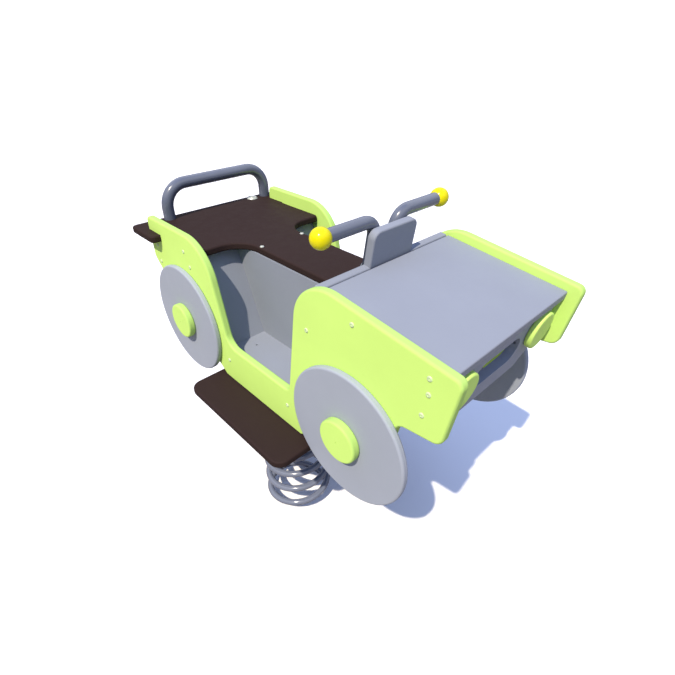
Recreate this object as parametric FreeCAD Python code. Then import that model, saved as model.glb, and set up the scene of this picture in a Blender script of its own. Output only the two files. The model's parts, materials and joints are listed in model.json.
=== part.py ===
import FreeCAD, Part
import math
import os

# Open off-road play car that rocks on a pair of coil springs.  Millimetres.
# +X is the front of the car, +Y its left side, +Z up.  The origin is the
# centre of the underside of the ground anchor.

Vector = FreeCAD.Vector
os.makedirs("parts", exist_ok=True)

# Ground
ANCHOR_LENGTH = 360.0
ANCHOR_WIDTH = 520.0
ANCHOR_THICKNESS = 12.0
ANCHOR_HOLE_RADIUS = 9.0
ANCHOR_HOLE_X = 150.0
ANCHOR_HOLE_Y = 230.0
GROUND = 81.0                    # play surface, above the underside of the anchor

# Springs
SPRING_Y = 114.0
COIL_RADIUS = 88.5
WIRE_RADIUS = 9.0
COIL_PITCH = 62.9
FLAT_TURN = 240.0                # degrees of level coil at each end
LEAD_RISE = 76.0                 # height of the steeper stretch above the buried end coil
LEAD_PITCH = 104.0
SPRING_START = -1.0              # direction of the lower wire end, degrees

# Steelwork under the body
TOP_PLATE_TOP = GROUND + 405.0
TOP_PLATE_THICKNESS = 8.0
TOP_PLATE_X = 155.0
TOP_PLATE_Y = 225.0
SPRING_BOTTOM = ANCHOR_THICKNESS + WIRE_RADIUS + 0.3
SPRING_TOP = TOP_PLATE_TOP - TOP_PLATE_THICKNESS - WIRE_RADIUS - 0.3
LEAD_TURN = 360.0 * LEAD_RISE / LEAD_PITCH
MAIN_TURN = 360.0 * (SPRING_TOP - SPRING_BOTTOM - LEAD_RISE) / COIL_PITCH
RAIL_X = 108.0
RAIL_FLANGE = 40.0
RAIL_STEEL = 4.0
RAIL_HALF_LENGTH = 190.0
RAIL_BOLT_Y = 172.0

# Boards
BOARD = 19.0
EDGE_ROUND = 5.0
SIDE_INNER_Y = 196.0
SIDE_OUTER_Y = SIDE_INNER_Y + BOARD
INSIDE_Y = SIDE_INNER_Y - 0.2    # half length of the cross boards
FOOTBOARD_TOP = GROUND + 424.0
FOOTBOARD_Y = 313.5
FOOTBOARD_REAR = -190.0
FOOTBOARD_FRONT = 194.0
FLOOR_TOP = GROUND + 497.0
FLOOR_REAR = -196.0
FLOOR_FRONT = 172.0
SEAT_TOP = GROUND + 754.5
SEAT_BOTTOM = SEAT_TOP - BOARD
SEAT_REAR = -531.0
SEAT_WIDE_FRONT = -235.0
TONGUE_Y = 73.0
TONGUE_FRONT = 178.5
EAR_FRONT = -405.0
EAR_Y = 242.0
SPINE_Y = 75.0

# Wheels
WHEEL_Z = GROUND + 540.0
FRONT_WHEEL_X = 307.0
REAR_WHEEL_X = -313.0
WHEEL_RADIUS = 153.5
WHEEL_THICKNESS = 15.0
HUB_RADIUS = 48.5
HUB_THICKNESS = 19.0

# Sloping boards: slope is the shift in X for each millimetre of height
DASH_SLOPE = 0.14
DASH_FOOT_X = 167.2              # front face at floor level
STRIP_TOP = GROUND + 821.0
SHIELD_TOP = GROUND + 895.0
SHIELD_Y = 65.5
BULKHEAD_SLOPE = -0.39
BULKHEAD_FOOT_X = -170.0         # front face at floor level
GRILLE_SLOPE = 0.15
GRILLE_X = 467.0                 # front face at the lower edge
GRILLE_BOTTOM = GROUND + 626.0
GRILLE_TOP = GROUND + 766.0
HOOD_REAR_X = 215.5
HOOD_REAR_TOP = GROUND + 821.0
HOOD_FRONT_X = 502.0
HOOD_DROP = 0.125                # fall for each millimetre forward
TAIL_X = -445.5
TAIL_BOTTOM = GROUND + 645.0
DISC_RADIUS = 41.5
DISC_THICKNESS = 15.0
DISC_Y = 138.0
DISC_Z = GROUND + 716.5

# Tubes
BACK_TUBE_RADIUS = 16.5
BACK_TUBE_WALL = 2.6
BACK_X = -507.0
BACK_RIGHT_Y = -135.0
BACK_LEFT_Y = 200.0
BACK_BAR_Z = GROUND + 847.0
BACK_BEND = 62.0
STRAP_THICKNESS = 5.0
HANDLE_RADIUS = 13.5
HANDLE_WALL = 2.6
HANDLE_BEND = 34.0
HANDLE_LEG_Y = 31.0
HANDLE_Z = GROUND + 906.0
HANDLE_FOOT = GROUND + 762.0
KNOB_RADIUS = 20.8
KNOB_Y = 175.0

X_AXIS = Vector(1, 0, 0)
Y_AXIS = Vector(0, 1, 0)
Z_AXIS = Vector(0, 0, 1)


def save(name, shape):
    shape.exportStep("parts/" + name + ".step")


def group(shapes):
    return Part.makeCompound(shapes)


def rounded_face(corners):
    """Flat face on the XY plane from (x, y, radius) corners, each rounded by its radius."""
    count = len(corners)
    rounds = []
    for index, (x, y, radius) in enumerate(corners):
        here = Vector(x, y, 0)
        before = corners[index - 1]
        after = corners[(index + 1) % count]
        to_before = (Vector(before[0], before[1], 0) - here).normalize()
        to_after = (Vector(after[0], after[1], 0) - here).normalize()
        if radius == 0:
            rounds.append((here, None, here))
            continue
        half = to_before.getAngle(to_after) / 2
        setback = radius / math.tan(half)
        bisector = (to_before + to_after).normalize()
        middle = here + bisector * (radius / math.sin(half) - radius)
        rounds.append((here + to_before * setback, middle, here + to_after * setback))
    edges = []
    for index, (start, middle, end) in enumerate(rounds):
        if middle is not None:
            edges.append(Part.Arc(start, middle, end).toShape())
        following = rounds[(index + 1) % count][0]
        if end.distanceToPoint(following) > 0.01:
            edges.append(Part.makeLine(end, following))
    return Part.Face(Part.Wire(edges))


def slab(corners, thickness=BOARD, edge=EDGE_ROUND):
    """Board standing up from the XY plane with its upper and lower edges rounded."""
    board = rounded_face(corners).extrude(Z_AXIS * thickness)
    rims = [rim for rim in board.Edges if rim.BoundBox.ZLength < 0.01]
    return board.makeFillet(edge, rims)


def placed(shape, origin, x_dir, y_dir):
    """Copy of a shape with its own X and Y laid along two directions in the car."""
    turn = FreeCAD.Rotation(x_dir, y_dir, x_dir.cross(y_dir), "XYZ")
    copy = shape.copy()
    copy.Placement = FreeCAD.Placement(origin, turn).multiply(copy.Placement)
    return copy


def mirrored(shape):
    """The same piece on the other side of the car."""
    return shape.mirror(Vector(0, 0, 0), Y_AXIS)


def box(x0, x1, y0, y1, z0, z1):
    return Part.makeBox(x1 - x0, y1 - y0, z1 - z0, Vector(x0, y0, z0))


def rod(radius, length, start, direction=Z_AXIS):
    return Part.makeCylinder(radius, length, start, direction)


def disc(radius, thickness, edge):
    """Round board with rounded rims, lying on the XY plane."""
    plain = Part.makeCylinder(radius, thickness)
    rims = [rim for rim in plain.Edges if rim.BoundBox.ZLength < 0.01]
    return plain.makeFillet(edge, rims)


def hexagon(across_flats, height, start, direction=Z_AXIS):
    corner = across_flats / math.sqrt(3)
    points = []
    for step in range(7):
        angle = math.radians(60 * step)
        points.append(Vector(corner * math.cos(angle), corner * math.sin(angle), 0))
    head = Part.Face(Part.makePolygon(points)).extrude(Z_AXIS * height)
    head.Placement = FreeCAD.Placement(start, FreeCAD.Rotation(Z_AXIS, direction))
    return head


def joined(first, second):
    """One solid from two that touch."""
    return first.fuse(second).removeSplitter().Solids[0]


def hex_bolt(radius, flats, head, length, seat, direction):
    """Bolt whose head sits on a surface; the shank runs from the seat along the direction."""
    shank = rod(radius, length + 1, seat - direction, direction)
    return joined(shank, hexagon(flats, head, seat - direction * head, direction))


def nut(radius, flats, height, start, direction):
    return hexagon(flats, height, start, direction).cut(rod(radius, height, start, direction))


def dome_screw(radius, head_radius, head, length, seat, direction):
    """Button head screw with a hexagon socket; the shank runs from the seat along the direction."""
    profile = [
        Vector(0, 0, -head),
        Vector(head_radius * 0.55, 0, -head),
        Vector(head_radius * 0.88, 0, -head * 0.7),
        Vector(head_radius, 0, 0),
        Vector(radius, 0, 0),
        Vector(radius, 0, length),
        Vector(0, 0, length),
    ]
    edges = [
        Part.makeLine(profile[0], profile[1]),
        Part.Arc(profile[1], profile[2], profile[3]).toShape(),
    ]
    for first, second in zip(profile[3:], profile[4:] + profile[:1]):
        edges.append(Part.makeLine(first, second))
    body = Part.Face(Part.Wire(edges)).revolve(Vector(0, 0, 0), Z_AXIS, 360)
    socket = hexagon(head_radius * 0.6, head * 0.6, Vector(0, 0, -head))
    screw = body.cut(socket)
    screw.Placement = FreeCAD.Placement(seat, FreeCAD.Rotation(Z_AXIS, direction))
    return screw


def tube(path, radius, wall=0.0, coiled=False):
    """Round tube along a wire; a wall of zero gives a solid rod, coiled follows the turn of a coil."""
    start = path.Edges[0]
    tangent = start.tangentAt(start.FirstParameter)
    begin = start.valueAt(start.FirstParameter)
    skins = []
    for size in [radius] + ([radius - wall] if wall else []):
        ring = Part.Wire(Part.makeCircle(size, begin, tangent))
        skins.append(path.makePipeShell([ring], True, coiled))
    if wall:
        return skins[0].cut(skins[1])
    return skins[0]


def bent_path(points, bend):
    """Wire through points with a bend of one radius at every inner point."""
    edges = []
    last = points[0]
    for before, here, after in zip(points, points[1:], points[2:]):
        back = (before - here).normalize()
        ahead = (after - here).normalize()
        half = back.getAngle(ahead) / 2
        setback = bend / math.tan(half)
        start = here + back * setback
        end = here + ahead * setback
        middle = here + (back + ahead).normalize() * (bend / math.sin(half) - bend)
        edges.append(Part.makeLine(last, start))
        edges.append(Part.Arc(start, middle, end).toShape())
        last = end
    edges.append(Part.makeLine(last, points[-1]))
    return Part.Wire(edges)


# ---------------------------------------------------------------- sloping board frames
def leaning(slope):
    """Direction up a board that leans by a slope, and the normal on its front face."""
    up = Vector(slope, 0, 1).normalize()
    return up, Y_AXIS.cross(up)


dash_up, dash_front = leaning(DASH_SLOPE)
bulkhead_up, bulkhead_front = leaning(BULKHEAD_SLOPE)
grille_up, grille_front = leaning(GRILLE_SLOPE)
hood_along = Vector(1, 0, -HOOD_DROP).normalize()
hood_normal = hood_along.cross(Y_AXIS)

dash_foot = Vector(DASH_FOOT_X, 0, FLOOR_TOP)
bulkhead_foot = Vector(BULKHEAD_FOOT_X, 0, FLOOR_TOP)
grille_foot = Vector(GRILLE_X, 0, GRILLE_BOTTOM)


def dash_rear(z):
    """X of the rear face of the dash board at a height."""
    return DASH_FOOT_X + DASH_SLOPE * (z - FLOOR_TOP) - BOARD / dash_up.z


def middle_x(foot, slope, up, z):
    """X of the middle of a leaning board at a height."""
    return foot.x + slope * (z - foot.z) - BOARD / 2 / up.z


def hood_middle(x):
    """Height of the middle of the hood board at a distance forward."""
    return HOOD_REAR_TOP - HOOD_DROP * (x - HOOD_REAR_X) - BOARD / 2 / hood_normal.z


# Screws through each side panel into the ends of the boards: (x, z)
side_screw_places = [
    (110.0, FLOOR_TOP - BOARD / 2),
    (-132.0, FLOOR_TOP - BOARD / 2),
    (-284.0, SEAT_TOP - BOARD / 2),
    (-436.0, GROUND + 718.0),
    (-436.0, GROUND + 670.0),
    (311.0, hood_middle(311.0)),
    (474.0, hood_middle(474.0)),
]
for height in (GROUND + 732.0, GROUND + 570.0):
    side_screw_places.append((middle_x(dash_foot, DASH_SLOPE, dash_up, height), height))
for height in (GROUND + 709.0, GROUND + 560.0):
    side_screw_places.append((middle_x(bulkhead_foot, BULKHEAD_SLOPE, bulkhead_up, height), height))
for height in (GROUND + 749.0, GROUND + 702.0):
    side_screw_places.append((middle_x(grille_foot, GRILLE_SLOPE, grille_up, height), height))

SCREW_RADIUS = 3.5
SCREW_LENGTH = 52.0
SCREW_HEAD_RADIUS = 5.2
SCREW_HEAD_RISE = 2.0
SUNK_DEPTH = 2.6                 # of the heads that a wheel covers


def head_depth(x, z):
    """How far a screw head is sunk into the side panel: only where a wheel covers it."""
    reach = WHEEL_RADIUS + SCREW_HEAD_RADIUS + 1
    covered = [math.hypot(x - wheel_x, z - WHEEL_Z) < reach for wheel_x in (FRONT_WHEEL_X, REAR_WHEEL_X)]
    return SUNK_DEPTH if any(covered) else 0.0


side_holes = []
side_sinks = []
for x, z in side_screw_places:
    side_holes.append(rod(SCREW_RADIUS + 0.1, 2 * SIDE_OUTER_Y + 2, Vector(x, -SIDE_OUTER_Y - 1, z), Y_AXIS))
    if head_depth(x, z) > 0:
        side_sinks.append(rod(SCREW_HEAD_RADIUS + 0.4, SUNK_DEPTH, Vector(x, -SIDE_OUTER_Y, z), Y_AXIS))
side_holes = group(side_holes)
side_sinks = group(side_sinks)

# ---------------------------------------------------------------- ground anchor
anchor = box(-ANCHOR_LENGTH / 2, ANCHOR_LENGTH / 2, -ANCHOR_WIDTH / 2, ANCHOR_WIDTH / 2, 0, ANCHOR_THICKNESS)
anchor = anchor.makeFillet(20.0, [edge for edge in anchor.Edges if edge.BoundBox.ZLength > 1])
for x in (-ANCHOR_HOLE_X, ANCHOR_HOLE_X):
    for y in (-ANCHOR_HOLE_Y, ANCHOR_HOLE_Y):
        anchor = anchor.cut(rod(ANCHOR_HOLE_RADIUS, ANCHOR_THICKNESS, Vector(x, y, 0)))

# ---------------------------------------------------------------- springs
lead_end = FLAT_TURN + LEAD_TURN
turn_end = lead_end + MAIN_TURN + FLAT_TURN


def coil_height(angle):
    """Height of the wire centre after turning by an angle from the lower end."""
    lead = min(LEAD_TURN, max(0.0, angle - FLAT_TURN)) / 360.0 * LEAD_PITCH
    main = min(MAIN_TURN, max(0.0, angle - lead_end)) / 360.0 * COIL_PITCH
    return SPRING_BOTTOM + lead + main


POINTS_PER_TURN = 24
coil_points = []
point_count = round(turn_end / 360.0 * POINTS_PER_TURN)
for step in range(point_count + 1):
    angle = turn_end * step / point_count
    around = math.radians(SPRING_START + angle)
    smooth = sum(coil_height(angle + shift) for shift in (-15.0, 0.0, 15.0)) / 3
    coil_points.append(Vector(COIL_RADIUS * math.cos(around), COIL_RADIUS * math.sin(around), smooth))
coil_curve = Part.BSplineCurve()
coil_curve.interpolate(coil_points)
spring = tube(Part.Wire(coil_curve.toShape()), WIRE_RADIUS, coiled=True)

# ---------------------------------------------------------------- spring clamps
CLAMP_ANGLES = (62.0, 140.0, 215.0)   # from the wire end
CLAMP_BOLT_R = 66.0
CLAMP_STEEL = 8.0
CLAMP_HALF_WIDTH = 16.0


def clamp(angle):
    """Bent steel claw that holds the level end coil, pointing out at an angle, seat at z = 0."""
    top = 2 * WIRE_RADIUS + 0.6
    claw = box(48, 101, -CLAMP_HALF_WIDTH, CLAMP_HALF_WIDTH, top, top + CLAMP_STEEL)
    leg = box(48, 56, -CLAMP_HALF_WIDTH, CLAMP_HALF_WIDTH, 0, top)
    lip = box(48, 101, -CLAMP_HALF_WIDTH, CLAMP_HALF_WIDTH, 0, top + CLAMP_STEEL)
    bend = [edge for edge in lip.Edges if abs(edge.CenterOfMass.x - 48) < 0.1 and edge.CenterOfMass.z > top]
    outer = lip.makeFillet(6.0, [edge for edge in bend if edge.BoundBox.YLength > 1])
    piece = joined(claw, leg).common(outer)
    piece = piece.cut(rod(6.6, 60, Vector(CLAMP_BOLT_R, 0, -1))).Solids[0]
    piece.rotate(Vector(0, 0, 0), Z_AXIS, angle)
    return piece


def clamp_bolt(angle):
    """M12 bolt through a claw, its head on the claw and its end in the plate below z = 0."""
    seat = Vector(CLAMP_BOLT_R, 0, 2 * WIRE_RADIUS + 0.6 + CLAMP_STEEL)
    bolt = hex_bolt(6.0, 18.0, 7.5, seat.z + TOP_PLATE_THICKNESS - 1, seat, -Z_AXIS)
    bolt.rotate(Vector(0, 0, 0), Z_AXIS, angle)
    return bolt


lower_clamps = []
lower_bolts = []
upper_clamps = []
upper_bolts = []
spring_solids = []
plate_tapping = []
for side in (-1, 1):
    centre = Vector(0, side * SPRING_Y, 0)
    copy = spring.copy()
    copy.translate(centre)
    spring_solids.append(copy)
    for angle in CLAMP_ANGLES:
        for maker, pile in ((clamp, lower_clamps), (clamp_bolt, lower_bolts)):
            piece = maker(SPRING_START + angle)
            piece.translate(centre + Z_AXIS * ANCHOR_THICKNESS)
            pile.append(piece)
        for maker, pile in ((clamp, upper_clamps), (clamp_bolt, upper_bolts)):
            piece = maker(-(SPRING_START + turn_end - angle))
            piece.rotate(Vector(0, 0, 0), X_AXIS, 180)
            piece.translate(centre + Z_AXIS * (TOP_PLATE_TOP - TOP_PLATE_THICKNESS))
            pile.append(piece)
for bolt in lower_bolts:
    middle = bolt.CenterOfMass
    anchor = anchor.cut(rod(6.1, ANCHOR_THICKNESS, Vector(middle.x, middle.y, 0)))
for bolt in upper_bolts:
    middle = bolt.CenterOfMass
    low_end = Vector(middle.x, middle.y, TOP_PLATE_TOP - TOP_PLATE_THICKNESS)
    plate_tapping.append(rod(6.1, TOP_PLATE_THICKNESS, low_end))

save("anchor_plate", anchor)
save("lower_spring_clamps", group(lower_clamps))
save("lower_clamp_bolts", group(lower_bolts))
save("right_spring", spring_solids[0])
save("left_spring", spring_solids[1])
save("upper_spring_clamps", group(upper_clamps))
save("upper_clamp_bolts", group(upper_bolts))

# ---------------------------------------------------------------- top plate, rails and their bolts
rail_bolt_x = RAIL_X + RAIL_FLANGE / 2
bolt_spots = []
for x in (-rail_bolt_x, rail_bolt_x):
    for y in (-RAIL_BOLT_Y, RAIL_BOLT_Y):
        bolt_spots.append((x, y))
PLATE_BOTTOM = TOP_PLATE_TOP - TOP_PLATE_THICKNESS
BOLT_LENGTH = TOP_PLATE_THICKNESS + BOARD + RAIL_STEEL + 13
bolt_holes = group([rod(6.6, 60, Vector(x, y, PLATE_BOTTOM - 5)) for x, y in bolt_spots])

top_plate = box(-TOP_PLATE_X, TOP_PLATE_X, -TOP_PLATE_Y, TOP_PLATE_Y, PLATE_BOTTOM, TOP_PLATE_TOP)
top_plate = top_plate.makeFillet(25.0, [edge for edge in top_plate.Edges if edge.BoundBox.ZLength > 1])
top_plate = top_plate.cut(bolt_holes).cut(group(plate_tapping))
save("spring_top_plate", top_plate)

chassis_bolts = []
chassis_nuts = []
for x, y in bolt_spots:
    chassis_bolts.append(hex_bolt(6.0, 18.0, 7.5, BOLT_LENGTH, Vector(x, y, PLATE_BOTTOM), Z_AXIS))
    chassis_nuts.append(nut(6.05, 18.0, 10.0, Vector(x, y, FOOTBOARD_TOP + RAIL_STEEL), Z_AXIS))
save("chassis_bolts", group(chassis_bolts))
save("chassis_nuts", group(chassis_nuts))

FLOOR_BOTTOM = FLOOR_TOP - BOARD
floor_screw_spots = [(x, y) for x in (-rail_bolt_x, rail_bolt_x) for y in (-130.0, 0.0, 130.0)]
floor_screw_holes = group([rod(3.1, 30, Vector(x, y, FLOOR_BOTTOM - 10)) for x, y in floor_screw_spots])


def chassis_rail(side):
    """Channel across the car with its web inward and both flanges facing away."""
    web_x = side * RAIL_X
    far_x = side * (RAIL_X + RAIL_FLANGE)
    low_x = min(web_x, far_x)
    high_x = max(web_x, far_x)
    rail = box(low_x, high_x, -RAIL_HALF_LENGTH, RAIL_HALF_LENGTH, FOOTBOARD_TOP, FLOOR_BOTTOM)
    inner_low = low_x + (RAIL_STEEL if side > 0 else -1)
    inner_high = high_x + (1 if side > 0 else -RAIL_STEEL)
    hollow = box(
        inner_low, inner_high, -RAIL_HALF_LENGTH - 1, RAIL_HALF_LENGTH + 1,
        FOOTBOARD_TOP + RAIL_STEEL, FLOOR_BOTTOM - RAIL_STEEL,
    )
    return rail.cut(hollow).cut(bolt_holes).cut(floor_screw_holes)


save("front_chassis_rail", chassis_rail(1))
save("rear_chassis_rail", chassis_rail(-1))
floor_screws = []
for x, y in floor_screw_spots:
    floor_screws.append(dome_screw(3.0, 5.5, 3.0, 16.0, Vector(x, y, FLOOR_BOTTOM - RAIL_STEEL), Z_AXIS))
save("rail_screws", group(floor_screws))

# ---------------------------------------------------------------- footboard and floor
footboard = slab([
    (FOOTBOARD_REAR, -FOOTBOARD_Y, 30),
    (FOOTBOARD_FRONT, -FOOTBOARD_Y, 30),
    (FOOTBOARD_FRONT, FOOTBOARD_Y, 30),
    (FOOTBOARD_REAR, FOOTBOARD_Y, 30),
])
footboard = placed(footboard, Vector(0, 0, FOOTBOARD_TOP - BOARD), X_AXIS, Y_AXIS)
BRACKET_X = (-60.0, 60.0)
BRACKET_LEG = 36.0
BRACKET_STEEL = 4.0
BRACKET_HALF = 25.0
bracket_screws = []
bracket_holes = []
brackets = []
for x in BRACKET_X:
    inner = SIDE_INNER_Y - BRACKET_LEG
    angle_iron = box(
        x - BRACKET_HALF, x + BRACKET_HALF, inner, SIDE_INNER_Y,
        FOOTBOARD_TOP, FOOTBOARD_TOP + BRACKET_LEG,
    )
    space = box(
        x - BRACKET_HALF, x + BRACKET_HALF, inner, SIDE_INNER_Y - BRACKET_STEEL,
        FOOTBOARD_TOP + BRACKET_STEEL, FOOTBOARD_TOP + BRACKET_LEG,
    )
    holes = []
    for along in (-14.0, 14.0):
        down_seat = Vector(x + along, SIDE_INNER_Y - 22, FOOTBOARD_TOP + BRACKET_STEEL)
        out_seat = Vector(x + along, SIDE_INNER_Y - BRACKET_STEEL, FOOTBOARD_TOP + 23)
        bracket_screws.append(dome_screw(3.0, 5.5, 3.0, 17.0, down_seat, -Z_AXIS))
        bracket_screws.append(dome_screw(3.0, 5.5, 3.0, 17.0, out_seat, Y_AXIS))
        holes.append(rod(3.1, 18, down_seat, -Z_AXIS))
        holes.append(rod(3.1, 18, out_seat, Y_AXIS))
    brackets.append(angle_iron.cut(space).cut(group(holes)))
    bracket_holes.extend(holes)
brackets.extend([mirrored(piece) for piece in brackets])
bracket_screws.extend([mirrored(piece) for piece in bracket_screws])
bracket_holes.extend([mirrored(piece) for piece in bracket_holes])
bracket_holes = group(bracket_holes)
save("sill_brackets", group(brackets))
save("sill_bracket_screws", group(bracket_screws))
save("footboard", footboard.cut(bolt_holes).cut(bracket_holes))

SPINE_SCREW_X = (-84.0, 4.0, 86.0)
spine_screws = []
for x in SPINE_SCREW_X:
    for y in (-SPINE_Y + BOARD / 2, SPINE_Y - BOARD / 2):
        spine_screws.append((x, y))
spine_screw_holes = group([rod(3.1, 50, Vector(x, y, FLOOR_BOTTOM - 1)) for x, y in spine_screws])
floor = slab([
    (FLOOR_REAR, -INSIDE_Y, 0),
    (FLOOR_FRONT, -INSIDE_Y, 0),
    (FLOOR_FRONT, INSIDE_Y, 0),
    (FLOOR_REAR, INSIDE_Y, 0),
], edge=2.0)
floor = placed(floor, Vector(0, 0, FLOOR_BOTTOM), X_AXIS, Y_AXIS)
save("floor_panel", floor.cut(floor_screw_holes).cut(spine_screw_holes).cut(side_holes))
spine_screw_solids = []
for x, y in spine_screws:
    spine_screw_solids.append(dome_screw(3.0, 5.5, 3.0, 44.0, Vector(x, y, FLOOR_BOTTOM), Z_AXIS))
save("spine_screws", group(spine_screw_solids))

# ---------------------------------------------------------------- side panels
side_outline = [
    (-474.0, GROUND + 791.0, 14),     # rear fender
    (-183.5, GROUND + 791.0, 115),
    (-125.7, GROUND + 534.0, 38),     # way in over the sill
    (118.5, GROUND + 534.0, 20),
    (163.5, GROUND + 848.0, 100),     # top line of the hood
    (531.0, GROUND + 799.5, 16),
    (511.0, GROUND + 659.5, 22),
    (424.0, GROUND + 648.0, 22),
    (396.0, GROUND + 519.0, 30),      # front lobe behind the wheel
    (290.0, GROUND + 519.0, 40),
    (155.0, GROUND + 424.0, 14),      # sill
    (-159.0, GROUND + 424.0, 14),
    (-295.0, GROUND + 519.0, 40),     # rear lobe behind the wheel
    (-402.0, GROUND + 519.0, 30),
    (-436.0, GROUND + 636.0, 30),
    (-474.0, GROUND + 674.0, 30),
]
WHEEL_PLACES = {
    "front": FRONT_WHEEL_X,
    "rear": REAR_WHEEL_X,
}
WHEEL_BOLT_RADIUS = 4.0
axle_holes = group([
    rod(WHEEL_BOLT_RADIUS + 0.1, 2 * EAR_Y + 20, Vector(x, -EAR_Y - 10, WHEEL_Z), Y_AXIS)
    for x in WHEEL_PLACES.values()
])
ear_slot = box(
    -480.0, EAR_FRONT + 0.4, -SIDE_OUTER_Y - 1, SIDE_OUTER_Y + 1,
    SEAT_BOTTOM - 0.2, SEAT_TOP + 0.2,
)
side = slab(side_outline)
side = placed(side, Vector(0, -SIDE_INNER_Y, 0), X_AXIS, Z_AXIS)
side = side.cut(ear_slot).cut(side_holes).cut(side_sinks).cut(axle_holes).cut(bracket_holes)
save("right_side_panel", side)
save("left_side_panel", mirrored(side))

# ---------------------------------------------------------------- cross boards
bulkhead = slab([(-INSIDE_Y, -20, 0), (INSIDE_Y, -20, 0), (INSIDE_Y, 270, 0), (-INSIDE_Y, 270, 0)], edge=2.0)
bulkhead = placed(bulkhead, bulkhead_foot - bulkhead_front * BOARD, Y_AXIS, bulkhead_up)
cabin = box(-600, 600, -SIDE_OUTER_Y, SIDE_OUTER_Y, FLOOR_TOP, SEAT_BOTTOM)
save("rear_bulkhead", bulkhead.common(cabin).cut(side_holes))

strip_height = (STRIP_TOP - FLOOR_TOP) / dash_up.z
shield_height = (SHIELD_TOP - FLOOR_TOP) / dash_up.z
dash = slab([
    (-INSIDE_Y, -15, 0),
    (INSIDE_Y, -15, 0),
    (INSIDE_Y, strip_height, 4),
    (SHIELD_Y, strip_height, 0),
    (SHIELD_Y, shield_height, 18),
    (-SHIELD_Y, shield_height, 18),
    (-SHIELD_Y, strip_height, 0),
    (-INSIDE_Y, strip_height, 4),
], edge=4.0)
dash = placed(dash, dash_foot - dash_front * BOARD, Y_AXIS, dash_up)
HANDLE_BOLT_Z = (GROUND + 774.0, GROUND + 794.0)
handle_bolt_seats = []
for z in HANDLE_BOLT_Z:
    for y in (-HANDLE_LEG_Y, HANDLE_LEG_Y):
        face = Vector(dash_rear(z), y, z)
        handle_bolt_seats.append(face - dash_front * (2 * HANDLE_RADIUS))
handle_holes = group([rod(4.1, 90, seat - dash_front * 10, dash_front) for seat in handle_bolt_seats])
above_floor = box(-600, 600, -SIDE_OUTER_Y, SIDE_OUTER_Y, FLOOR_TOP, SHIELD_TOP + 50)
save("dash_panel", dash.common(above_floor).cut(side_holes).cut(handle_holes))

spine = rounded_face([
    (BULKHEAD_FOOT_X + 0.2, FLOOR_TOP, 0),
    (dash_rear(FLOOR_TOP) - 0.2, FLOOR_TOP, 0),
    (dash_rear(SEAT_BOTTOM) - 0.2, SEAT_BOTTOM, 0),
    (BULKHEAD_FOOT_X + 0.2 + BULKHEAD_SLOPE * (SEAT_BOTTOM - FLOOR_TOP), SEAT_BOTTOM, 0),
]).extrude(Z_AXIS * BOARD)
spine = placed(spine, Vector(0, -SPINE_Y + BOARD, 0), X_AXIS, Z_AXIS)
SEAT_SCREW_X = -154.0
seat_screw_spots = [(SEAT_SCREW_X, y) for y in (-SPINE_Y + BOARD / 2, SPINE_Y - BOARD / 2)]
seat_screw_holes = group([rod(3.1, 70, Vector(x, y, SEAT_TOP - 65)) for x, y in seat_screw_spots])
spine = spine.cut(spine_screw_holes).cut(seat_screw_holes)
save("right_spine_panel", spine)
save("left_spine_panel", mirrored(spine))

tail = slab([
    (-INSIDE_Y, TAIL_BOTTOM, 0),
    (INSIDE_Y, TAIL_BOTTOM, 0),
    (INSIDE_Y, SEAT_BOTTOM - 0.2, 0),
    (-INSIDE_Y, SEAT_BOTTOM - 0.2, 0),
], edge=2.0)
tail = placed(tail, Vector(TAIL_X, 0, 0), Y_AXIS, Z_AXIS)
save("tail_panel", tail.cut(side_holes))

hood_length = (HOOD_FRONT_X - HOOD_REAR_X) / hood_along.x
hood = slab([
    (0, -INSIDE_Y, 0),
    (hood_length, -INSIDE_Y, 3),
    (hood_length, INSIDE_Y, 3),
    (0, INSIDE_Y, 0),
], edge=3.0)
hood = placed(hood, Vector(HOOD_REAR_X, 0, HOOD_REAR_TOP) - hood_normal * BOARD, hood_along, Y_AXIS)
save("hood_panel", hood.cut(side_holes))

# ---------------------------------------------------------------- grille and headlight discs
CHAMFER_Y = 108.0
CHAMFER_RISE = 62.0
SLOT_HALF = 80.0
SLOT_MIDDLE = 74.5
SLOT_HEIGHT = 59.0
SLOT_ROUND = SLOT_HEIGHT / 2 - 0.1
grille_height = (GRILLE_TOP - GRILLE_BOTTOM) / grille_up.z
grille = slab([
    (-CHAMFER_Y, 0, 8),
    (CHAMFER_Y, 0, 8),
    (INSIDE_Y, CHAMFER_RISE, 0),
    (INSIDE_Y, grille_height, 0),
    (-INSIDE_Y, grille_height, 0),
    (-INSIDE_Y, CHAMFER_RISE, 0),
], edge=3.0)
slot = slab([
    (-SLOT_HALF, SLOT_MIDDLE - SLOT_HEIGHT / 2, SLOT_ROUND),
    (SLOT_HALF, SLOT_MIDDLE - SLOT_HEIGHT / 2, SLOT_ROUND),
    (SLOT_HALF, SLOT_MIDDLE + SLOT_HEIGHT / 2, SLOT_ROUND),
    (-SLOT_HALF, SLOT_MIDDLE + SLOT_HEIGHT / 2, SLOT_ROUND),
], thickness=BOARD + 20, edge=3.0)
slot.translate(Vector(0, 0, -10))
grille = grille.cut(slot)
disc_rise = (DISC_Z - GRILLE_BOTTOM) / grille_up.z
headlight = disc(DISC_RADIUS, DISC_THICKNESS, 4.0)
headlight.translate(Vector(0, 0, BOARD))
light_screw_holes = []
light_screws = []
for y in (-DISC_Y, DISC_Y):
    for shift in (-20.0, 20.0):
        seat = Vector(y, disc_rise + shift, 0)
        light_screws.append(dome_screw(3.0, 5.5, 3.0, 30.0, seat, Z_AXIS))
        light_screw_holes.append(rod(3.1, 31, seat))
light_screw_holes = group(light_screw_holes)
grille_origin = grille_foot - grille_front * BOARD


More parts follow.
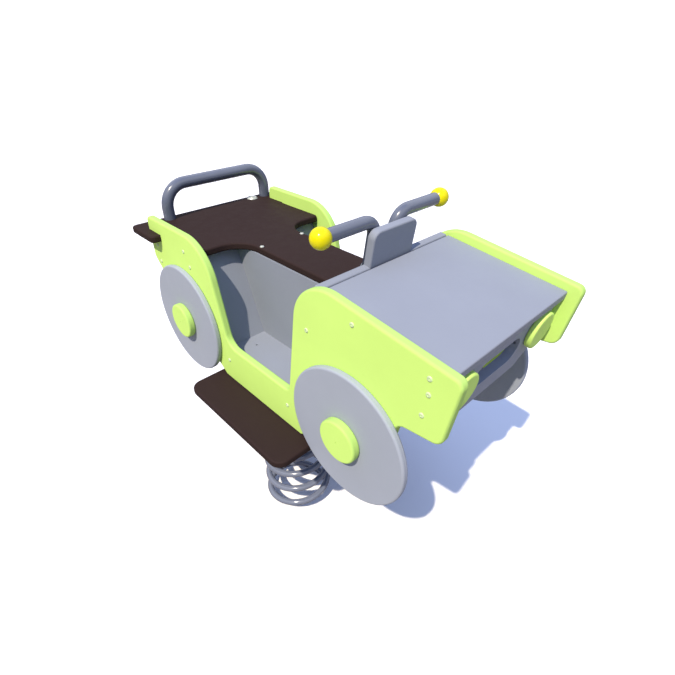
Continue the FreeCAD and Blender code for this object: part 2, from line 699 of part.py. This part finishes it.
def on_grille(piece):
    return placed(piece, grille_origin, Y_AXIS, grille_up)


save("grille_panel", on_grille(grille.cut(light_screw_holes)).cut(side_holes))
headlight_screws = [on_grille(piece) for piece in light_screws]
save("headlight_screws", group(headlight_screws))
for name, y in (("right", -DISC_Y), ("left", DISC_Y)):
    copy = headlight.copy()
    copy.translate(Vector(y, disc_rise, 0))
    save(name + "_headlight_disc", on_grille(copy.cut(light_screw_holes)))

# ---------------------------------------------------------------- seat
BOLT_SHIFT = 48.0                # strap bolt, to the right of each leg of the backrest
EAR_ROUND = 15.0
TONGUE_ROUND = 68.0
back_legs = (BACK_RIGHT_Y, BACK_LEFT_Y)
half_seat = [
    (SEAT_REAR, -EAR_Y, EAR_ROUND),
    (EAR_FRONT, -EAR_Y, EAR_ROUND),
    (EAR_FRONT, -INSIDE_Y, 0),
    (SEAT_WIDE_FRONT, -INSIDE_Y, 10),
    (SEAT_WIDE_FRONT, -TONGUE_Y, TONGUE_ROUND),
    (TONGUE_FRONT, -TONGUE_Y, 0),
]
other_half = [(x, -y, radius) for x, y, radius in reversed(half_seat)]
seat = slab(half_seat + other_half)
seat = placed(seat, Vector(0, 0, SEAT_BOTTOM), X_AXIS, Y_AXIS)
leg_bolt_holes = group([rod(5.1, 40, Vector(BACK_X, y, SEAT_BOTTOM - 10)) for y in back_legs])
strap_bolt_holes = group([rod(4.1, 40, Vector(BACK_X, y - BOLT_SHIFT, SEAT_BOTTOM - 10)) for y in back_legs])
seat = seat.cut(leg_bolt_holes).cut(strap_bolt_holes).cut(side_holes).cut(seat_screw_holes)
save("seat_board", seat)
seat_screws = []
for x, y in seat_screw_spots:
    seat_screws.append(dome_screw(3.0, 5.5, 2.6, 60.0, Vector(x, y, SEAT_TOP), -Z_AXIS))
save("seat_screws", group(seat_screws))

# ---------------------------------------------------------------- backrest bar
back_path = bent_path([
    Vector(BACK_X, BACK_RIGHT_Y, SEAT_TOP),
    Vector(BACK_X, BACK_RIGHT_Y, BACK_BAR_Z),
    Vector(BACK_X, BACK_LEFT_Y, BACK_BAR_Z),
    Vector(BACK_X, BACK_LEFT_Y, SEAT_TOP),
], BACK_BEND)
backrest = tube(back_path, BACK_TUBE_RADIUS, BACK_TUBE_WALL)
LEG_BOLT_DEPTH = 24.0
for y in back_legs:
    plug = rod(BACK_TUBE_RADIUS - BACK_TUBE_WALL, LEG_BOLT_DEPTH, Vector(BACK_X, y, SEAT_TOP))
    backrest = joined(backrest, plug.cut(rod(5.1, LEG_BOLT_DEPTH - 2, Vector(BACK_X, y, SEAT_TOP))))
save("backrest_bar", backrest)
strap_low = SEAT_BOTTOM - STRAP_THICKNESS
strap = box(BACK_X - 16, BACK_X + 16, BACK_RIGHT_Y - 68, BACK_LEFT_Y + 18, strap_low, SEAT_BOTTOM)
save("backrest_strap", strap.cut(leg_bolt_holes).cut(strap_bolt_holes))
leg_bolts = []
for y in back_legs:
    length = STRAP_THICKNESS + BOARD + LEG_BOLT_DEPTH - 5
    leg_bolts.append(hex_bolt(5.0, 16.0, 6.4, length, Vector(BACK_X, y, strap_low), Z_AXIS))
save("backrest_leg_bolts", group(leg_bolts))
WASHER_RADIUS = 17.0
WASHER_HEIGHT = 4.0
strap_bolts = []
strap_nuts = []
strap_washers = []
for y in back_legs:
    spot = Vector(BACK_X, y - BOLT_SHIFT, SEAT_TOP)
    ring = Part.makeCone(WASHER_RADIUS, WASHER_RADIUS - 3, WASHER_HEIGHT, spot)
    ring = ring.cut(rod(8.0, WASHER_HEIGHT, spot + Z_AXIS * 1.5)).cut(rod(4.1, WASHER_HEIGHT, spot))
    strap_washers.append(ring)
    reach = 1.5 + BOARD + STRAP_THICKNESS + 9
    strap_bolts.append(dome_screw(4.0, 7.5, 4.0, reach, spot + Z_AXIS * 1.5, -Z_AXIS))
    strap_nuts.append(nut(4.05, 13.0, 6.5, Vector(BACK_X, y - BOLT_SHIFT, strap_low - 6.5), Z_AXIS))
save("backrest_strap_bolts", group(strap_bolts))
save("backrest_strap_nuts", group(strap_nuts))
save("backrest_washers", group(strap_washers))

# ---------------------------------------------------------------- handles
leg_foot = Vector(dash_rear(HANDLE_FOOT), HANDLE_LEG_Y, HANDLE_FOOT) - dash_front * HANDLE_RADIUS
leg_height = (HANDLE_Z - leg_foot.z) / dash_up.z
leg_head = leg_foot + dash_up * leg_height
grip_end = Vector(leg_head.x, KNOB_Y - 8, leg_head.z)
handle_path = bent_path([grip_end, leg_head, leg_foot], HANDLE_BEND)
handle = tube(handle_path, HANDLE_RADIUS, HANDLE_WALL).cut(handle_holes)
knob_centre = Vector(leg_head.x, KNOB_Y, leg_head.z)
knob = Part.makeSphere(KNOB_RADIUS, knob_centre)
knob = knob.cut(rod(HANDLE_RADIUS + 0.05, KNOB_RADIUS, grip_end, -Y_AXIS))
cap = rod(HANDLE_RADIUS - HANDLE_WALL - 0.1, 5.0, leg_foot + dash_up * 0.5, dash_up)
cap = joined(cap, joined(
    rod(HANDLE_RADIUS, 2.0, leg_foot - dash_up * 2.0, dash_up),
    rod(HANDLE_RADIUS - 4, 2.5, leg_foot, dash_up),
))
save("left_handle_tube", handle)
save("right_handle_tube", mirrored(handle))
save("left_ball_knob", knob)
save("right_ball_knob", mirrored(knob))
save("handle_end_caps", group([cap, mirrored(cap)]))
handle_bolts = []
handle_nuts = []
for seat_point in handle_bolt_seats:
    reach = 2 * HANDLE_RADIUS + BOARD + 8
    handle_bolts.append(dome_screw(4.0, 7.0, 4.4, reach, seat_point, dash_front))
    nut_start = seat_point + dash_front * (2 * HANDLE_RADIUS + BOARD)
    handle_nuts.append(nut(4.05, 13.0, 6.5, nut_start, dash_front))
save("handle_bolts", group(handle_bolts))
save("handle_nuts", group(handle_nuts))

# ---------------------------------------------------------------- wheels
INSERT_RADIUS = 6.0
INSERT_LENGTH = 12.0
DIMPLE_RADIUS = 1.7
DIMPLE_DEPTH = 3.0
hub_back = -SIDE_OUTER_Y - WHEEL_THICKNESS
wheel_bolts = []
hub_inserts = []
for end, x in WHEEL_PLACES.items():
    wheel = disc(WHEEL_RADIUS, WHEEL_THICKNESS, 4.5)
    wheel = placed(wheel, Vector(x, -SIDE_OUTER_Y, WHEEL_Z), X_AXIS, Z_AXIS).cut(axle_holes)
    hub = disc(HUB_RADIUS, HUB_THICKNESS, 4.5)
    hub = placed(hub, Vector(x, hub_back, WHEEL_Z), X_AXIS, Z_AXIS)
    hub = hub.cut(rod(INSERT_RADIUS + 0.05, INSERT_LENGTH + 0.5, Vector(x, hub_back, WHEEL_Z), -Y_AXIS))
    hub = hub.cut(rod(DIMPLE_RADIUS, DIMPLE_DEPTH, Vector(x, hub_back - HUB_THICKNESS, WHEEL_Z), Y_AXIS))
    save("right_" + end + "_wheel", wheel)
    save("left_" + end + "_wheel", mirrored(wheel))
    save("right_" + end + "_hub", hub)
    save("left_" + end + "_hub", mirrored(hub))
    insert = rod(INSERT_RADIUS, INSERT_LENGTH, Vector(x, hub_back, WHEEL_Z), -Y_AXIS)
    insert = insert.cut(rod(WHEEL_BOLT_RADIUS + 0.05, INSERT_LENGTH, Vector(x, hub_back, WHEEL_Z), -Y_AXIS))
    reach = BOARD + WHEEL_THICKNESS + INSERT_LENGTH - 1
    bolt = dome_screw(WHEEL_BOLT_RADIUS, 7.5, 4.0, reach, Vector(x, -SIDE_INNER_Y, WHEEL_Z), -Y_AXIS)
    wheel_bolts.extend([bolt, mirrored(bolt)])
    hub_inserts.extend([insert, mirrored(insert)])
save("wheel_bolts", group(wheel_bolts))
save("hub_inserts", group(hub_inserts))

# ---------------------------------------------------------------- side panel screws
side_screws = []
for x, z in side_screw_places:
    seat_face = Vector(x, -SIDE_OUTER_Y + head_depth(x, z), z)
    screw = dome_screw(SCREW_RADIUS, SCREW_HEAD_RADIUS, SCREW_HEAD_RISE, SCREW_LENGTH, seat_face, Y_AXIS)
    side_screws.append(screw)
save("right_panel_screws", group(side_screws))
save("left_panel_screws", group([mirrored(piece) for piece in side_screws]))
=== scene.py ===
import json
import math

import bpy
import bmesh
from mathutils import Matrix, Vector


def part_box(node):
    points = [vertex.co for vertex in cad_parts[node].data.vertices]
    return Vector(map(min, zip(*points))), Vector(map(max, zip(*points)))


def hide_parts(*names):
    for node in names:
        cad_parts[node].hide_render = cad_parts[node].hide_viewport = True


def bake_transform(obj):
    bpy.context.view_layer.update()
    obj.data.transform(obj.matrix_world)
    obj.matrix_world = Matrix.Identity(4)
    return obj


# Looks, light and camera of the car-shaped spring rocker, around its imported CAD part. Metres.

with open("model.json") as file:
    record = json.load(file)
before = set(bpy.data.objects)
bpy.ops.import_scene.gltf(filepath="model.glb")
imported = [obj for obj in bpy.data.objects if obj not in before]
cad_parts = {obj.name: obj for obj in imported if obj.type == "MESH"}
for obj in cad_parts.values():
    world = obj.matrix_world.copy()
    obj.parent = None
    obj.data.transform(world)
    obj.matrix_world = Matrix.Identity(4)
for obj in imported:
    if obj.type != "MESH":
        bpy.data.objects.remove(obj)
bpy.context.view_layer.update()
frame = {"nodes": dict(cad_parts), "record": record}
NODES = frame["nodes"]

# ---- driving values ------------------------------------------------------------------------------
ANCHOR_COVER = 0.069                  # of ground over the anchor plate
PLAY_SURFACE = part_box("anchor_plate")[1].z + ANCHOR_COVER

COIL_RADIUS = 0.0885
WIRE_RADIUS = 0.009
COIL_PITCH = 0.0629
LEAD_RISE = 0.076                     # height of the steeper stretch above the buried end coil
LEAD_PITCH = 0.104

# Texture scales, in cycles per metre
BOARD_CLOUD = 7.0                     # slow shifts of shade
BOARD_SWELL = 30.0                    # faint unevenness of a face
BOARD_RUB = 46.0                      # rubbed patches
BOARD_PEBBLE = 620.0                  # pebbled grain
COAT_SHADE = 18.0
COAT_GLOSS = 24.0
COAT_PEEL = 420.0                     # orange-peel waves
MOULD_WAVE = 240.0
MOULD_SHADE = 55.0
MOULD_GLOSS = 160.0
ZINC_SPANGLE = 95.0
ZINC_PITTING = 260.0
TURNED_SHADE = 420.0
TURNED_GLOSS = 900.0
TURNED_MARKS = 1500.0
FLOOR_CLOUD = 2.0

RUB_STRETCH = (1.0, 1.0, 0.35)        # rubbed patches are longest upwards
EDGE_SHARPNESS = 6.0                  # how quickly the face's tint gives way to the painted edge shade on a rounded edge


# ---- materials -----------------------------------------------------------------------------------
def new_material(name, colour, roughness, metallic=0.0, **sockets):
    """A Principled material whose constant values sit on the shader's own sockets."""
    material = bpy.data.materials.new(name)
    material.use_nodes = True
    shader = material.node_tree.nodes["Principled BSDF"]
    shader.inputs["Base Color"].default_value = (*colour, 1.0)
    shader.inputs["Roughness"].default_value = roughness
    shader.inputs["Metallic"].default_value = metallic
    for socket, value in sockets.items():
        shader.inputs[socket.replace("_", " ")].default_value = value
    return material, material.node_tree, shader


def link(tree, source, output, target, socket):
    tree.links.new(source.outputs[output], target.inputs[socket])


def noise(tree, scale, detail=2.0, roughness=0.5, stretch=(1.0, 1.0, 1.0)):
    """Noise in the part's own coordinates, so that it is the same size on every piece."""
    place = tree.nodes.new("ShaderNodeTexCoord")
    mapping = tree.nodes.new("ShaderNodeMapping")
    mapping.inputs["Scale"].default_value = stretch
    texture = tree.nodes.new("ShaderNodeTexNoise")
    texture.inputs["Scale"].default_value = scale
    texture.inputs["Detail"].default_value = detail
    texture.inputs["Roughness"].default_value = roughness
    link(tree, place, "Object", mapping, "Vector")
    link(tree, mapping, "Vector", texture, "Vector")
    return texture


def colour_ramp(tree, stops):
    """A colour ramp with nothing linked to it. stops are (place, colour) pairs."""
    node = tree.nodes.new("ShaderNodeValToRGB")
    elements = node.color_ramp.elements
    while len(elements) < len(stops):
        elements.new(0.5)
    for element, (place, colour) in zip(elements, stops):
        element.position = place
        element.color = (*colour, 1.0)
    return node


def ramp(tree, texture, stops):
    """A colour ramp on a noise texture."""
    node = colour_ramp(tree, stops)
    link(tree, texture, "Fac", node, "Fac")
    return node


def vary_gloss(tree, shader, texture, smoother, rougher):
    """Roughness that wanders with a texture. smoother and rougher are (place, roughness) pairs."""
    stops = [(place, (roughness,) * 3) for place, roughness in (smoother, rougher)]
    link(tree, ramp(tree, texture, stops), "Color", shader, "Roughness")


def bump(tree, shader, texture, strength, distance, below=None):
    """Adds a bump layer. below is the layer it lies on."""
    node = tree.nodes.new("ShaderNodeBump")
    node.inputs["Strength"].default_value = strength
    node.inputs["Distance"].default_value = distance
    link(tree, texture, "Fac", node, "Height")
    if below is not None:
        link(tree, below, "Normal", node, "Normal")
    link(tree, node, "Normal", shader, "Normal")
    return node


def shades(colour, spread):
    """Two shades, a little darker and a little lighter than a colour."""
    darker = tuple(c * (1 - spread) for c in colour)
    lighter = tuple(min(1.0, c * (1 + spread)) for c in colour)
    return darker, lighter


def paint_edge_shade(tree, tint, painted_edge_shade):
    """The face's tint where the surface looks sideways, and a painted shade where it doesn't,
    darkening rounded edges against the light they catch.
    """
    place = tree.nodes.new("ShaderNodeTexCoord")
    facing = tree.nodes.new("ShaderNodeSeparateXYZ")
    size = tree.nodes.new("ShaderNodeMath")
    size.operation = "ABSOLUTE"
    share = tree.nodes.new("ShaderNodeMath")
    share.operation = "POWER"
    share.inputs[1].default_value = EDGE_SHARPNESS
    choose = tree.nodes.new("ShaderNodeMixRGB")
    choose.inputs["Color1"].default_value = (*painted_edge_shade, 1.0)
    link(tree, place, "Normal", facing, "Vector")
    tree.links.new(facing.outputs["Y"], size.inputs[0])
    tree.links.new(size.outputs["Value"], share.inputs[0])
    link(tree, share, "Value", choose, "Fac")
    link(tree, tint, "Color", choose, "Color2")
    return choose


def board(name, colour, roughness, grain=0.16, sheen=0.08, painted_edge_shade=None):
    """Coloured playground board: fine pebbled grain, slow shifts of shade and rubbed patches.

    painted_edge_shade is a painted shade for the rounded edges of a board whose faces look
    sideways, darkening them against the light they catch.
    """
    material, tree, shader = new_material(name, colour, roughness, Specular_IOR_Level=sheen)
    darker, lighter = shades(colour, 0.030)
    cloud = noise(tree, BOARD_CLOUD, 4.0, 0.55)
    tint = ramp(tree, cloud, [(0.30, darker), (0.55, colour), (0.75, lighter)])
    # painted shade on the board's rounded edges, against the light they catch
    if painted_edge_shade is not None:
        tint = paint_edge_shade(tree, tint, painted_edge_shade)
    link(tree, tint, "Color", shader, "Base Color")
    rub = noise(tree, BOARD_RUB, 6.0, 0.62, RUB_STRETCH)
    vary_gloss(tree, shader, rub, (0.36, roughness - 0.04), (0.64, roughness + 0.05))
    swell = bump(tree, shader, noise(tree, BOARD_SWELL), strength=0.025, distance=0.003)
    pebble = noise(tree, BOARD_PEBBLE, 3.0, 0.6)
    bump(tree, shader, pebble, strength=grain, distance=0.0006, below=swell)
    return material


def coated_steel(name, colour, roughness):
    """Powder-coated steel: an even colour under a clear skin with orange-peel waves."""
    material, tree, shader = new_material(
        name, colour, roughness, Coat_Weight=0.60, Coat_Roughness=0.07)
    darker, lighter = shades(colour, 0.05)
    tint = ramp(tree, noise(tree, COAT_SHADE, 3.0), [(0.35, darker), (0.65, lighter)])
    link(tree, tint, "Color", shader, "Base Color")
    wander = noise(tree, COAT_GLOSS)
    vary_gloss(tree, shader, wander, (0.30, roughness - 0.03), (0.70, roughness + 0.05))
    bump(tree, shader, noise(tree, COAT_PEEL, 1.0), strength=0.05, distance=0.0003)
    return material


def moulded(name, colour, roughness, coat):
    """Moulded plastic: glossy, with very slight sink waves."""
    material, tree, shader = new_material(
        name, colour, roughness, Coat_Weight=coat, Coat_Roughness=0.08, Specular_IOR_Level=0.3)
    darker, lighter = shades(colour, 0.04)
    tint = ramp(tree, noise(tree, MOULD_SHADE, 3.0), [(0.35, darker), (0.65, lighter)])
    link(tree, tint, "Color", shader, "Base Color")
    wander = noise(tree, MOULD_GLOSS, 4.0)
    vary_gloss(tree, shader, wander, (0.4, roughness - 0.03), (0.7, roughness + 0.06))
    bump(tree, shader, noise(tree, MOULD_WAVE), strength=0.05, distance=0.0004)
    return material


def galvanised(name, colour, roughness):
    """Hot-dip galvanised steel: angular zinc spangles of differing shade and gloss."""
    material, tree, shader = new_material(name, colour, roughness, metallic=0.85)
    place = tree.nodes.new("ShaderNodeTexCoord")
    spangle = tree.nodes.new("ShaderNodeTexVoronoi")
    spangle.inputs["Scale"].default_value = ZINC_SPANGLE
    spangle.inputs["Randomness"].default_value = 1.0
    link(tree, place, "Object", spangle, "Vector")
    split = tree.nodes.new("ShaderNodeSeparateColor")
    link(tree, spangle, "Color", split, "Color")
    darker, lighter = shades(colour, 0.16)
    tint = colour_ramp(tree, [(0.0, darker), (1.0, lighter)])
    link(tree, split, "Red", tint, "Fac")
    link(tree, tint, "Color", shader, "Base Color")
    gloss = tree.nodes.new("ShaderNodeMapRange")
    gloss.inputs["To Min"].default_value = roughness - 0.10
    gloss.inputs["To Max"].default_value = roughness + 0.12
    link(tree, split, "Green", gloss, "Value")
    link(tree, gloss, "Result", shader, "Roughness")
    bump(tree, shader, noise(tree, ZINC_PITTING, 3.0), strength=0.12, distance=0.0005)
    return material


def machined(name, colour, roughness, metallic):
    """Fasteners: fine turning and handling marks."""
    material, tree, shader = new_material(name, colour, roughness, metallic=metallic)
    darker, lighter = shades(colour, 0.10)
    tint = ramp(tree, noise(tree, TURNED_SHADE, 4.0), [(0.35, darker), (0.65, lighter)])
    link(tree, tint, "Color", shader, "Base Color")
    wander = noise(tree, TURNED_GLOSS, 4.0)
    vary_gloss(tree, shader, wander, (0.35, roughness - 0.08), (0.7, roughness + 0.14))
    bump(tree, shader, noise(tree, TURNED_MARKS), strength=0.10, distance=0.0002)
    return material


LIME = (0.63, 0.92, 0.215)
# painted shade for the lime boards' rounded edges, darker than the face to hold down the light they
# catch
LIME_PAINTED_EDGE_SHADE = (0.47, 0.73, 0.180)
# a slightly lighter copy of the lime board: painted light on the headlight discs, making up for too
# little light on them
LIME_DISC_PAINTED_LIGHT = (0.65, 0.95, 0.222)
GREY = (0.271, 0.298, 0.355)
# a lighter copy of the grey board: painted light on the grille, making up for too little light on
# it from the front
GREY_GRILLE_PAINTED_LIGHT = (0.345, 0.378, 0.445)
GREY_WHEEL = (0.370, 0.410, 0.480)
BROWN = (0.0335, 0.0212, 0.0200)
TUBE_BLUE = (0.116, 0.136, 0.190)
SPRING_BLUE = (0.168, 0.192, 0.258)
KNOB_YELLOW = (0.76, 0.69, 0.001)
CAP_BLACK = (0.018, 0.019, 0.021)
ZINC = (0.46, 0.48, 0.51)
STAINLESS = (0.52, 0.55, 0.50)
SCREW_TINT = (0.60, 0.76, 0.42)       # pale lime heads of the screws in the boards

MATERIALS = {                         # by the record's material slot
    "lime_board": board("lime_board_look", LIME, 0.50, painted_edge_shade=LIME_PAINTED_EDGE_SHADE),
    "grey_board": board("grey_board_look", GREY, 0.46),
    "brown_board": board("brown_board_look", BROWN, 0.58, grain=0.22, sheen=0.04),
    "painted_tube": coated_steel("painted_tube_look", TUBE_BLUE, 0.22),
    "painted_spring": coated_steel("painted_spring_look", SPRING_BLUE, 0.16),
    "yellow_knob": moulded("yellow_knob_look", KNOB_YELLOW, 0.20, coat=0.0),
    "black_cap": moulded("black_cap_look", CAP_BLACK, 0.42, coat=0.1),
    "zinc_steel": galvanised("zinc_steel_look", ZINC, 0.42),
    "stainless_fastener": machined("stainless_look", STAINLESS, 0.46, metallic=0.35),
}
SCREW_LOOK = machined("panel_screw_look", SCREW_TINT, 0.50, metallic=0.05)
SPECIAL_LOOKS = {                     # by the end of the node's name
    "_wheel": board("wheel_board_look", GREY_WHEEL, 0.48),
    # the headlight discs get painted light, a lighter copy of the lime board
    "headlight_disc": board("headlight_painted_light_look", LIME_DISC_PAINTED_LIGHT, 0.50),
    # the grille gets painted light, a lighter copy of the grey board
    "grille_panel": board("grille_painted_light_look", GREY_GRILLE_PAINTED_LIGHT, 0.48),
    "panel_screws": SCREW_LOOK,
    "headlight_screws": SCREW_LOOK,
}


def dress(node, material):
    """Gives a CAD node its material through the object's own slots."""
    for slot in node.material_slots:
        slot.link = "OBJECT"
        slot.material = material


for entry in frame["record"]["subparts"]:
    look = MATERIALS[entry["material_slot"]]
    for ending, special in SPECIAL_LOOKS.items():
        if entry["node"].endswith(ending):
            look = special
    dress(NODES[entry["node"]], look)


# ---- coil springs --------------------------------------------------------------------------------
SPRING_LOW, SPRING_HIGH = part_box("right_spring")
SPRING_BOTTOM = SPRING_LOW.z + WIRE_RADIUS
SPRING_TOP = SPRING_HIGH.z - WIRE_RADIUS
SPRING_START = math.radians(-1)       # direction of the lower wire end
FLAT_TURN = math.radians(240)         # level coil at each end
EASE_TURN = math.radians(15)          # to each side of a change of slope
LEAD_TURN = math.tau * LEAD_RISE / LEAD_PITCH
MAIN_TURN = math.tau * (SPRING_TOP - SPRING_BOTTOM - LEAD_RISE) / COIL_PITCH
SPLIT_SHARE = 0.70                    # of the rise, where the lower piece meets the upper one
RING_SIDES = 20
STEPS_PER_TURN = 72
NEARBY_TURN = 0.01                    # radians, for the wire's direction

LEAD_END = FLAT_TURN + LEAD_TURN
TURN_END = LEAD_END + MAIN_TURN + FLAT_TURN
SPLIT_RISE = (SPRING_TOP - SPRING_BOTTOM) * SPLIT_SHARE
SPLIT_TURN = LEAD_END + math.tau * (SPLIT_RISE - LEAD_RISE) / COIL_PITCH


def coil_height(turn):
    """Height of the wire's centre, before the changes of slope are eased."""
    lead = min(LEAD_TURN, max(0.0, turn - FLAT_TURN)) / math.tau * LEAD_PITCH
    main = min(MAIN_TURN, max(0.0, turn - LEAD_END)) / math.tau * COIL_PITCH
    return SPRING_BOTTOM + lead + main


def around_axis(turn):
    """Direction from the coil's axis to the wire."""
    return Vector((math.cos(SPRING_START + turn), math.sin(SPRING_START + turn), 0.0))


def coil_point(turn, middle):
    """The wire's centre after turning by an angle from its lower end."""
    height = sum(coil_height(turn + shift) for shift in (-EASE_TURN, 0.0, EASE_TURN)) / 3
    return middle + around_axis(turn) * COIL_RADIUS + Vector((0, 0, height))


def wire_piece(name, turns, middle, closed_ends):
    """A stretch of round wire along the coil, closed flat where the wire itself ends."""
    bm = bmesh.new()
    rings = []
    for turn in turns:
        here = coil_point(turn, middle)
        ahead = coil_point(turn + NEARBY_TURN, middle) - coil_point(turn - NEARBY_TURN, middle)
        ahead.normalize()
        upward = ahead.cross(around_axis(turn)).normalized()
        outward = upward.cross(ahead)
        ring = []
        for side in range(RING_SIDES):
            angle = math.tau * side / RING_SIDES
            offset = outward * math.cos(angle) + upward * math.sin(angle)
            ring.append(bm.verts.new(here + offset * WIRE_RADIUS))
        rings.append(ring)
    for first, second in zip(rings, rings[1:]):
        for side in range(RING_SIDES):
            after = (side + 1) % RING_SIDES
            bm.faces.new((first[side], first[after], second[after], second[side]))
    if closed_ends[0]:
        bm.faces.new(list(reversed(rings[0])))
    if closed_ends[1]:
        bm.faces.new(rings[-1])
    bmesh.ops.recalc_face_normals(bm, faces=bm.faces)
    mesh = bpy.data.meshes.new(name)
    bm.to_mesh(mesh)
    bm.free()
    for polygon in mesh.polygons:
        polygon.use_smooth = len(polygon.vertices) == 4
    piece = bpy.data.objects.new(name, mesh)
    bpy.context.scene.collection.objects.link(piece)
    return piece


def turns_between(start, end):
    count = round((end - start) / math.tau * STEPS_PER_TURN)
    return [start + (end - start) * step / count for step in range(count + 1)]


LOWER_TURNS = turns_between(0.0, SPLIT_TURN)
UPPER_TURNS = turns_between(SPLIT_TURN, TURN_END)

for side in ("right", "left"):
    low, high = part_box(side + "_spring")
    middle = Vector((0.0, (low.y + high.y) / 2, 0.0))
    lower = wire_piece(side + "_spring_lower_coils", LOWER_TURNS, middle, (True, False))
    upper = wire_piece(side + "_spring_upper_coils", UPPER_TURNS, middle, (False, True))
    for piece in (lower, upper):
        piece.data.materials.append(MATERIALS["painted_spring"])
        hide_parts(side + "_spring")
    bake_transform(lower)
    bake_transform(upper)


# ---- floor, light and camera ---------------------------------------------------------------------
FLOOR_REACH = 60.0
FLOOR_RETURN = (0.30, 0.28, 0.26)     # colour of the floor as it lights the object
FLOOR_PALE = 0.93
FLOOR_SPREAD = 0.01

SUN_TRAVEL = Vector((-0.224, 0.660, -1.0))
SUN_ENERGY = 4.46
SUN_COLOUR = (1.0, 0.894, 0.739)
SUN_ANGLE = math.radians(1.0)
BACKDROP_STRENGTH = 1.2
SKY_STOPS = [                         # light from the sky by height: 0 straight down, 1 straight up
    (0.00, (0.30, 0.28, 0.24)),
    (0.49, (0.06, 0.07, 0.12)),
    (0.51, (0.06, 0.08, 0.15)),
    (0.75, (0.26, 0.32, 0.54)),
    (0.93, (0.64, 0.80, 1.32)),
]
MIRROR_STOPS = [                      # what glossy surfaces reflect, by height
    (0.46, (0.03, 0.04, 0.08)),
    (0.60, (0.35, 0.40, 0.52)),
    (0.78, (1.05, 1.08, 1.16)),
    (0.93, (1.00, 1.04, 1.15)),
    (0.95, (0.42, 0.50, 0.88)),
]

CAMERA_PLACE = Vector((0.758, -0.680, 1.288))
CAMERA_YAW = math.radians(136.01)
CAMERA_PITCH = math.radians(-33.90)
CAMERA_ROLL = math.radians(0.19)
SENSOR_MM = 36.0
LENS_MM = 24.30
FAR_LIMIT = 200.0


def make_floor():
    """A plain pale floor at the play surface. What is set below it stays hidden, as in use."""
    mesh = bpy.data.meshes.new("floor")
    signs = [(-1, -1), (1, -1), (1, 1), (-1, 1)]
    corners = [(x * FLOOR_REACH, y * FLOOR_REACH, PLAY_SURFACE) for x, y in signs]
    mesh.from_pydata(corners, [], [(0, 1, 2, 3)])
    floor = bpy.data.objects.new("floor", mesh)
    bpy.context.scene.collection.objects.link(floor)
    pale = (FLOOR_PALE,) * 3
    material, tree, shader = new_material("floor_look", pale, 0.85, Specular_IOR_Level=0.1)
    darker = (FLOOR_PALE - FLOOR_SPREAD,) * 3
    lighter = (FLOOR_PALE + FLOOR_SPREAD,) * 3
    seen = ramp(tree, noise(tree, FLOOR_CLOUD), [(0.3, darker), (0.7, lighter)])
    ray = tree.nodes.new("ShaderNodeLightPath")
    choose = tree.nodes.new("ShaderNodeMixRGB")
    choose.inputs["Color1"].default_value = (*FLOOR_RETURN, 1.0)
    link(tree, ray, "Is Camera Ray", choose, "Fac")
    link(tree, seen, "Color", choose, "Color2")
    link(tree, choose, "Color", shader, "Base Color")
    mesh.materials.append(material)


def sky(tree, stops):
    """A background whose colour changes with height."""
    place = tree.nodes.new("ShaderNodeTexCoord")
    height = tree.nodes.new("ShaderNodeSeparateXYZ")
    share = tree.nodes.new("ShaderNodeMapRange")
    share.inputs["From Min"].default_value = -1.0
    shade = colour_ramp(tree, stops)
    background = tree.nodes.new("ShaderNodeBackground")
    link(tree, place, "Generated", height, "Vector")
    link(tree, height, "Z", share, "Value")
    link(tree, share, "Result", shade, "Fac")
    link(tree, shade, "Color", background, "Color")
    return background


def make_light():
    """A warm key light high on the right, a cool sky above and a plain white backdrop."""
    lamp = bpy.data.lights.new("key", "SUN")
    lamp.energy = SUN_ENERGY
    lamp.color = SUN_COLOUR
    lamp.angle = SUN_ANGLE
    key = bpy.data.objects.new("key", lamp)
    key.rotation_euler = SUN_TRAVEL.to_track_quat("-Z", "Y").to_euler()
    bpy.context.scene.collection.objects.link(key)

    world = bpy.data.worlds.new("studio")
    bpy.context.scene.world = world
    world.use_nodes = True
    tree = world.node_tree
    backdrop = tree.nodes["Background"]
    backdrop.inputs["Color"].default_value = (1.0, 1.0, 1.0, 1.0)
    backdrop.inputs["Strength"].default_value = BACKDROP_STRENGTH
    ray = tree.nodes.new("ShaderNodeLightPath")
    shown = tree.nodes.new("ShaderNodeMixShader")
    lit = tree.nodes.new("ShaderNodeMixShader")
    link(tree, ray, "Is Glossy Ray", lit, "Fac")
    tree.links.new(sky(tree, SKY_STOPS).outputs["Background"], lit.inputs[1])
    tree.links.new(sky(tree, MIRROR_STOPS).outputs["Background"], lit.inputs[2])
    link(tree, ray, "Is Camera Ray", shown, "Fac")
    tree.links.new(lit.outputs["Shader"], shown.inputs[1])
    tree.links.new(backdrop.outputs["Background"], shown.inputs[2])
    link(tree, shown, "Shader", tree.nodes["World Output"], "Surface")


def make_camera():
    """The camera, turned by its yaw, pitch and roll."""
    forward = Vector((
        math.cos(CAMERA_PITCH) * math.cos(CAMERA_YAW),
        math.cos(CAMERA_PITCH) * math.sin(CAMERA_YAW),
        math.sin(CAMERA_PITCH),
    ))
    level = Vector((math.sin(CAMERA_YAW), -math.cos(CAMERA_YAW), 0.0))
    upward = level.cross(forward)
    right = level * math.cos(CAMERA_ROLL) + upward * math.sin(CAMERA_ROLL)
    upward = right.cross(forward)
    lens = bpy.data.cameras.new("camera")
    lens.sensor_width = SENSOR_MM
    lens.lens = LENS_MM
    lens.clip_end = FAR_LIMIT
    camera = bpy.data.objects.new("camera", lens)
    turn = Matrix((right, upward, -forward)).transposed().to_4x4()
    camera.matrix_world = Matrix.Translation(CAMERA_PLACE) @ turn
    bpy.context.scene.collection.objects.link(camera)
    bpy.context.scene.camera = camera


make_floor()
make_light()
make_camera()
bpy.context.scene.view_settings.view_transform = "Standard"
